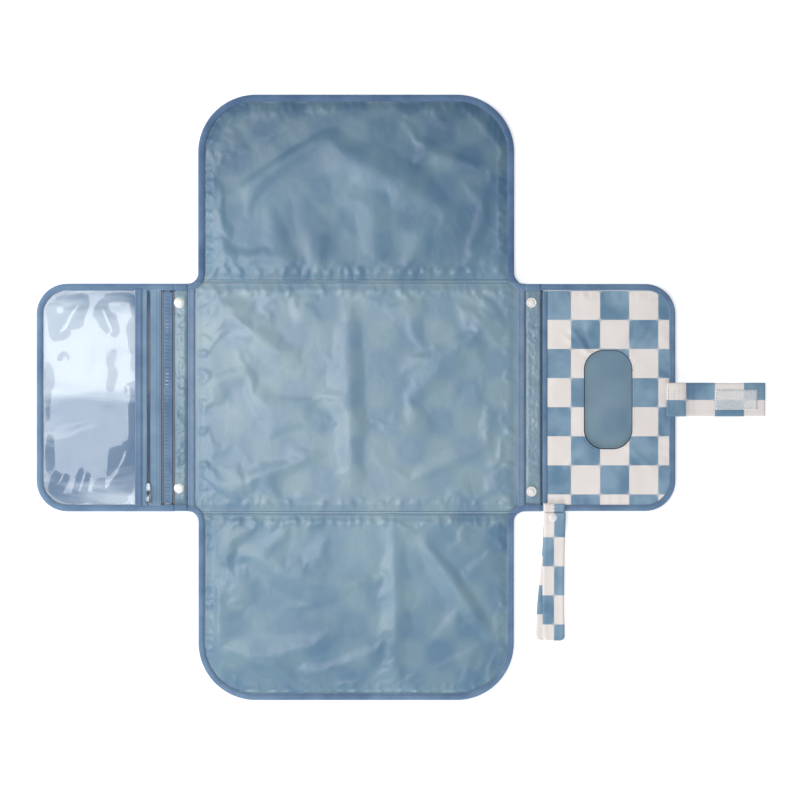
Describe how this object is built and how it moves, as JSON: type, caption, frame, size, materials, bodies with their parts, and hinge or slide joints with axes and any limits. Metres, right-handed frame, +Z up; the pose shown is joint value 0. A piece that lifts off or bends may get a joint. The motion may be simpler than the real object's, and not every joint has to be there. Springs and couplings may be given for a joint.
{
  "type": "changing pad",
  "caption": "Fold-out travel changing pad: padded centre and end panels, a clear zip-pocket wing, a wipes-pocket wing with an oval window, closure strap and snap wrist loop.",
  "frame": {"origin": "middle of the centre panel on its underside", "axes": "+Z up out of the lining, +X towards the wipes-pocket wing and its strap, +Y towards the top end panel"},
  "size_m": [0.7643, 0.635, 0.0069],
  "materials": {
    "lining": "satin nylon",
    "check_print": "blue and cream check, smooth woven polyester",
    "binding": "grosgrain tape",
    "foam": "closed-cell foam sheet",
    "clear_vinyl": "clear glossy sheet",
    "snap_plastic": "moulded white",
    "hook_and_loop": "short nylon pile",
    "zip_metal": "nickel plated"
  },
  "bodies": {
    "bottom_panel": {"bottom_binding": "binding", "bottom_foam": "foam", "bottom_lining": "lining", "bottom_outer": "check_print"},
    "centre": {"centre_foam": "foam", "centre_lining": "lining", "centre_outer": "check_print", "corner_binding_left_lower": "binding", "corner_binding_left_upper": "binding", "corner_binding_right_lower": "binding", "corner_binding_right_upper": "binding", "seam_tape_left": "binding", "seam_tape_right": "binding"},
    "left_leaf": {"clear_pocket_tape": "binding", "clear_pocket_window": "clear_vinyl", "left_wing_binding": "binding", "left_wing_lining": "lining", "left_wing_outer": "check_print", "loop_patch": "hook_and_loop", "slip_pocket": "lining", "slip_pocket_binding": "binding", "zip_tape_left": "binding", "zip_tape_right": "binding"},
    "closure_strap": {"closure_strap": "check_print", "hook_patch": "hook_and_loop"},
    "right_leaf": {"closure_strap_root": "check_print", "right_wing_binding": "binding", "right_wing_lining": "lining", "right_wing_outer": "check_print", "wipes_panel": "check_print", "wipes_pocket_binding": "binding", "wrist_strap_root": "check_print"},
    "left_spine": {"left_snap_cap_lower": "snap_plastic", "left_snap_cap_upper": "snap_plastic", "left_snap_socket_lower": "snap_plastic", "left_snap_socket_upper": "snap_plastic", "left_strip_binding_lower": "binding", "left_strip_binding_upper": "binding", "left_strip_lining": "lining", "left_strip_outer": "check_print"},
    "pull_tab": {"pull_tab": "zip_metal"},
    "right_spine": {"right_snap_cap_lower": "snap_plastic", "right_snap_cap_upper": "snap_plastic", "right_snap_stud_lower": "snap_plastic", "right_snap_stud_upper": "snap_plastic", "right_strip_binding_lower": "binding", "right_strip_binding_upper": "binding", "right_strip_lining": "lining", "right_strip_outer": "check_print"},
    "top_panel": {"top_binding": "binding", "top_foam": "foam", "top_lining": "lining", "top_outer": "check_print"},
    "wrist_strap": {"wrist_rear_cap": "snap_plastic", "wrist_snap_stud": "snap_plastic", "wrist_strap_rear": "check_print"},
    "wrist_tail": {"wrist_snap_cap": "snap_plastic", "wrist_snap_socket": "snap_plastic", "wrist_strap_front": "check_print"},
    "slider": {"zip_slider": "zip_metal"}
  },
  "joints": [
    {"name": "top_fold", "type": "hinge", "parent": "centre", "child": "top_panel", "pos_m": [0, 0.1215, 0.0037], "axis": [1, 0, 0], "range_deg": [0, 180]},
    {"name": "bottom_fold", "type": "hinge", "parent": "centre", "child": "bottom_panel", "pos_m": [0, -0.1215, 0.0057], "axis": [-1, 0, 0], "range_deg": [0, 180]},
    {"name": "left_wing_fold", "type": "hinge", "parent": "centre", "child": "left_spine", "pos_m": [-0.177, 0, 0.0043], "axis": [0, 1, 0], "range_deg": [0, 90]},
    {"name": "left_leaf_fold", "type": "hinge", "parent": "left_spine", "child": "left_leaf", "pos_m": [-0.191, 0, 0.0043], "axis": [0, 1, 0], "range_deg": [0, 90]},
    {"name": "zip_slide", "type": "slide", "parent": "left_leaf", "child": "slider", "axis": [0, 1, 0], "range_m": [0, 0.205]},
    {"name": "pull_tab_flip", "type": "hinge", "parent": "slider", "child": "pull_tab", "pos_m": [-0.2174, -0.1042, 0.0058], "axis": [1, 0, 0], "range_deg": [0, 180]},
    {"name": "right_wing_fold", "type": "hinge", "parent": "centre", "child": "right_spine", "pos_m": [0.1774, 0, 0.0038], "axis": [0, -1, 0], "range_deg": [0, 90]},
    {"name": "right_leaf_fold", "type": "hinge", "parent": "right_spine", "child": "right_leaf", "pos_m": [0.1944, 0, 0.0038], "axis": [0, -1, 0], "range_deg": [0, 90]},
    {"name": "strap_fold", "type": "hinge", "parent": "right_leaf", "child": "closure_strap", "pos_m": [0.3369, -0.0022, 0.0047], "axis": [0, -1, 0], "range_deg": [0, 180]},
    {"name": "wrist_fold", "type": "hinge", "parent": "right_leaf", "child": "wrist_strap", "pos_m": [0.20765, -0.12, 0.0064], "axis": [-1, 0, 0], "range_deg": [0, 180]},
    {"name": "wrist_loop_open", "type": "hinge", "parent": "wrist_strap", "child": "wrist_tail", "pos_m": [0.20765, -0.256, 0.0009], "axis": [1, 0, 0], "range_deg": [0, 180]}
  ]
}
